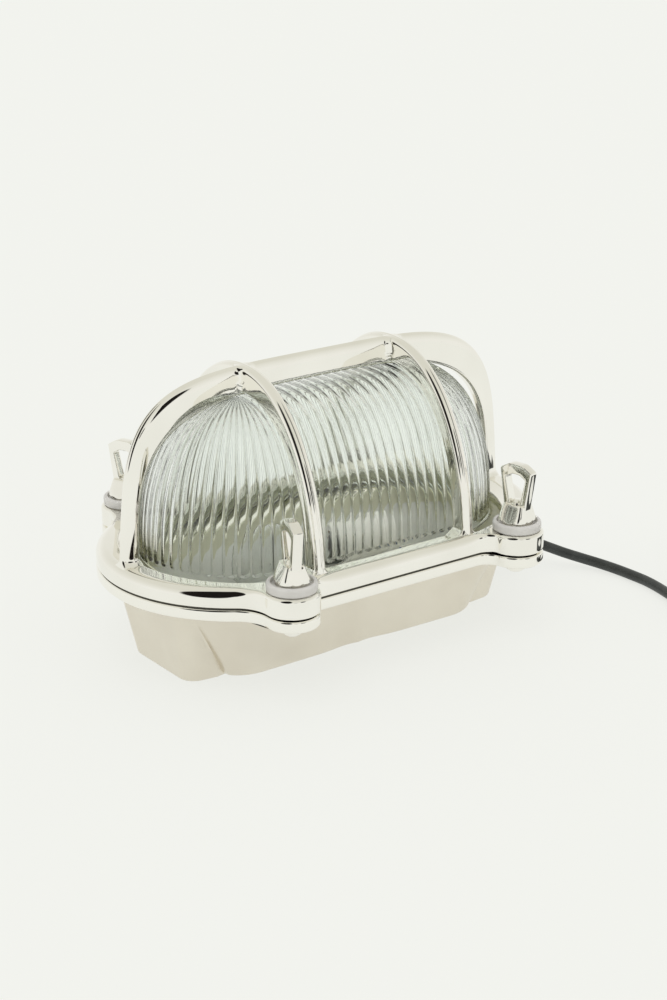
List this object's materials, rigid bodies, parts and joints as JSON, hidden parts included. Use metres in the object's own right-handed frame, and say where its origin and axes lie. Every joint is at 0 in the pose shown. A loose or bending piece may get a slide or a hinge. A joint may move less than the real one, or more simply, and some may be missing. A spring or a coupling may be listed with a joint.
{
  "type": "wall light",
  "caption": "Oval bulkhead wall light: cast back box, guard ring with arched bars, ribbed glass dome, loop nuts on studs, and a cable with a plug.",
  "frame": {"origin": "centre of the back face, which goes against the wall", "axes": "+X along the lamp towards the cable, +Z away from the wall, +Y across the lamp"},
  "size_m": [0.4705, 0.3153, 0.1833],
  "materials": {
    "polished_metal": "polished nickel plate over cast brass",
    "satin_metal": "satin nickel plate over cast brass",
    "ribbed_glass": "clear pressed glass, ribbed outside",
    "bulb_glass": "thin clear blown glass",
    "gasket_rubber": "matte",
    "washer_plastic": "soft, slightly translucent",
    "white_enamel": "gloss white enamel",
    "zinc_steel": "zinc plated",
    "porcelain": "white glaze",
    "bare_brass": "satin",
    "cap_metal": "satin",
    "terminal_plastic": "satin",
    "brown_wire": "satin",
    "blue_wire": "satin",
    "green_wire": "satin",
    "cable_jacket": "smooth rubber",
    "tie_plastic": "matte",
    "plug_plastic": "matte"
  },
  "bodies": {
    "housing": {"back_box": "satin_metal", "guard_frame": "polished_metal", "glass_dome": "ribbed_glass", "body_gasket": "gasket_rubber", "glass_gasket": "gasket_rubber", "gear_tray": "white_enamel", "tray_screw_1": "zinc_steel", "tray_screw_2": "zinc_steel", "holder_bracket": "zinc_steel", "bracket_rivet_1": "zinc_steel", "bracket_rivet_2": "zinc_steel", "lampholder": "porcelain", "holder_screw_1": "zinc_steel", "holder_screw_2": "zinc_steel", "holder_shell": "bare_brass", "holder_contact": "bare_brass", "bulb_envelope": "bulb_glass", "bulb_cap": "cap_metal", "bulb_filament": "cap_metal", "terminal_block": "terminal_plastic", "terminal_screws": "zinc_steel", "earth_screw": "bare_brass", "earth_tag": "bare_brass", "wire_live_in": "brown_wire", "wire_live_out": "brown_wire", "wire_neutral_in": "blue_wire", "wire_neutral_out": "blue_wire", "wire_earth": "green_wire", "cable_inside": "cable_jacket", "gland_body": "polished_metal", "gland_locknut": "polished_metal", "gland_seal": "gasket_rubber", "gland_nut": "polished_metal", "gland_sleeve": "cable_jacket", "cord_tube": "cable_jacket", "cord_coil": "cable_jacket", "cord_tail": "cable_jacket", "cord_tie": "tie_plastic", "plug_body": "plug_plastic", "plug_pin_1": "polished_metal", "plug_pin_2": "polished_metal", "stud_1": "polished_metal", "stud_2": "polished_metal", "stud_3": "polished_metal", "stud_4": "polished_metal"},
    "washer_1": {"washer_ring_1": "washer_plastic"},
    "nut_1": {"loop_nut_1": "polished_metal"},
    "washer_2": {"washer_ring_2": "washer_plastic"},
    "nut_2": {"loop_nut_2": "polished_metal"},
    "washer_3": {"washer_ring_3": "washer_plastic"},
    "nut_3": {"loop_nut_3": "polished_metal"},
    "washer_4": {"washer_ring_4": "washer_plastic"},
    "nut_4": {"loop_nut_4": "polished_metal"}
  },
  "joints": [
    {"name": "nut_1_lift", "type": "slide", "parent": "housing", "child": "washer_1", "axis": [0, 0, 1], "range_m": [0, 0.01157]},
    {"name": "nut_1_turn", "type": "hinge", "parent": "washer_1", "child": "nut_1", "pos_m": [-0.0861, -0.0923, 0.0822], "axis": [0, 0, 1], "range_deg": [0, 3330]},
    {"name": "nut_2_lift", "type": "slide", "parent": "housing", "child": "washer_2", "axis": [0, 0, 1], "range_m": [0, 0.01157]},
    {"name": "nut_2_turn", "type": "hinge", "parent": "washer_2", "child": "nut_2", "pos_m": [0.0861, -0.0923, 0.0822], "axis": [0, 0, 1], "range_deg": [0, 3330]},
    {"name": "nut_3_lift", "type": "slide", "parent": "housing", "child": "washer_3", "axis": [0, 0, 1], "range_m": [0, 0.01157]},
    {"name": "nut_3_turn", "type": "hinge", "parent": "washer_3", "child": "nut_3", "pos_m": [-0.0861, 0.0923, 0.0822], "axis": [0, 0, 1], "range_deg": [0, 3330]},
    {"name": "nut_4_lift", "type": "slide", "parent": "housing", "child": "washer_4", "axis": [0, 0, 1], "range_m": [0, 0.01157]},
    {"name": "nut_4_turn", "type": "hinge", "parent": "washer_4", "child": "nut_4", "pos_m": [0.0861, 0.0923, 0.0822], "axis": [0, 0, 1], "range_deg": [0, 3330]}
  ],
  "couplings": [
    {"joint": "nut_1_lift", "follows": "nut_1_turn", "m_per_rad": 0.00019894},
    {"joint": "nut_2_lift", "follows": "nut_2_turn", "m_per_rad": 0.00019894},
    {"joint": "nut_3_lift", "follows": "nut_3_turn", "m_per_rad": 0.00019894},
    {"joint": "nut_4_lift", "follows": "nut_4_turn", "m_per_rad": 0.00019894}
  ]
}
